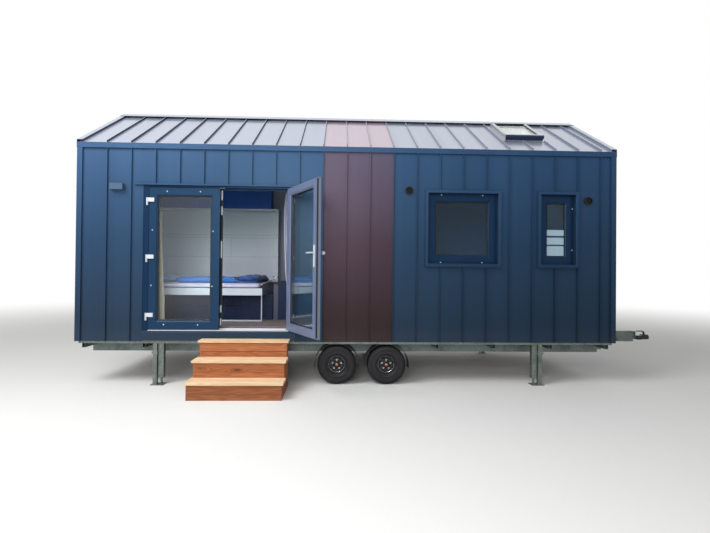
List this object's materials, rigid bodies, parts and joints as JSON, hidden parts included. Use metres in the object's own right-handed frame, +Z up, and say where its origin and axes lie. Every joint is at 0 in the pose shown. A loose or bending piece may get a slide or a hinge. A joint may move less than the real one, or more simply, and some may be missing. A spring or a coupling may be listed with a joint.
{
  "type": "tiny house",
  "caption": "Tiny house on a two-axle trailer with standing-seam metal cladding, a gable roof, a glazed double door, windows and wooden steps.",
  "frame": {"origin": "middle of the bounding box at ground level", "axes": "+X along the house towards the drawbar, +Y towards the rear wall, +Z up; the door side faces -Y"},
  "size_m": [8.548, 3.4098, 3.9883],
  "materials": {
    "galvanised": "galvanised, dull",
    "coupling": "black paint",
    "mudguard": "moulded",
    "floorboards": "grey wood boards",
    "timber": "painted boarding",
    "cladding": "anthracite coated sheet, satin",
    "band": "red-brown coated sheet, satin",
    "frames": "anthracite profile, satin",
    "skylight": "dark grey",
    "pane": "clear",
    "silver": "anodised",
    "fittings": "white powder coat",
    "black_trim": "black powder coat",
    "treads": "pale larch",
    "risers": "oiled larch",
    "bed_white": "white",
    "mattress": "woven cover",
    "bedding": "cotton",
    "unit": "light grey board",
    "dark_board": "dark board",
    "tyre": "moulded",
    "rim": "black steel"
  },
  "bodies": {
    "root": {"chassis_frame": "galvanised", "drawbar": "galvanised", "coupling_head": "coupling", "axles": "galvanised", "mudguards": "mudguard", "corner_legs": "galvanised", "floor": "floorboards", "front_wall_left": "timber", "front_wall_right": "timber", "front_wall_over_door": "timber", "rear_wall": "timber", "gable_walls": "timber", "roof_deck_front": "timber", "roof_deck_rear": "timber", "wall_cladding": "cladding", "wall_band": "band", "gable_cladding": "cladding", "roof_sheets": "cladding", "roof_band": "band", "ridge_cap": "cladding", "eave_flashings": "cladding", "verge_trims": "cladding", "corner_trims": "cladding", "door_frame": "frames", "door_flashing": "cladding", "threshold": "silver", "frame_hinges": "fittings", "window_casings": "cladding", "window_frames": "frames", "window_sashes": "frames", "window_glass": "pane", "skylight_frame": "skylight", "skylight_glass": "pane", "vents": "black_trim", "wall_lamp": "black_trim", "step_treads": "treads", "step_risers": "risers", "step_sides": "risers", "bed_frame": "bed_white", "mattress": "mattress", "bedding": "bedding", "bed_unit": "unit", "cabinets": "dark_board"},
    "left_door": {"left_leaf": "frames", "left_glass": "pane", "left_fittings": "fittings"},
    "right_door": {"right_leaf": "frames", "right_glass": "pane", "right_fittings": "fittings"},
    "handle": {"door_lever": "fittings"},
    "wheel_front_left": {"tyre_front_left": "tyre", "rim_front_left": "rim"},
    "wheel_front_right": {"tyre_front_right": "tyre", "rim_front_right": "rim"},
    "wheel_rear_left": {"tyre_rear_left": "tyre", "rim_rear_left": "rim"},
    "wheel_rear_right": {"tyre_rear_right": "tyre", "rim_rear_right": "rim"}
  },
  "joints": [
    {"name": "left_door_hinge", "type": "hinge", "parent": "root", "child": "left_door", "pos_m": [-3.363, -0.839, 1.7], "axis": [0, 0, -1], "range_deg": [0, 150]},
    {"name": "right_door_hinge", "type": "hinge", "parent": "root", "child": "right_door", "pos_m": [-1.465, -0.839, 1.7], "axis": [0, 0, 1], "range_deg": [-118, 32]},
    {"name": "lever_turn", "type": "hinge", "parent": "right_door", "child": "handle", "pos_m": [-1.11957, -1.66332, 1.734], "axis": [-0.8829, -0.4695, 0], "range_deg": [0, 45], "stiffness_Nm_per_rad": 2},
    {"name": "wheel_front_left_spin", "type": "hinge", "parent": "root", "child": "wheel_front_left", "pos_m": [-0.8525, -0.705, 0.262], "axis": [0, 1, 0], "continuous": true},
    {"name": "wheel_front_right_spin", "type": "hinge", "parent": "root", "child": "wheel_front_right", "pos_m": [-0.1815, -0.705, 0.262], "axis": [0, 1, 0], "continuous": true},
    {"name": "wheel_rear_left_spin", "type": "hinge", "parent": "root", "child": "wheel_rear_left", "pos_m": [-0.8525, 1.567, 0.262], "axis": [0, 1, 0], "continuous": true},
    {"name": "wheel_rear_right_spin", "type": "hinge", "parent": "root", "child": "wheel_rear_right", "pos_m": [-0.1815, 1.567, 0.262], "axis": [0, 1, 0], "continuous": true}
  ]
}
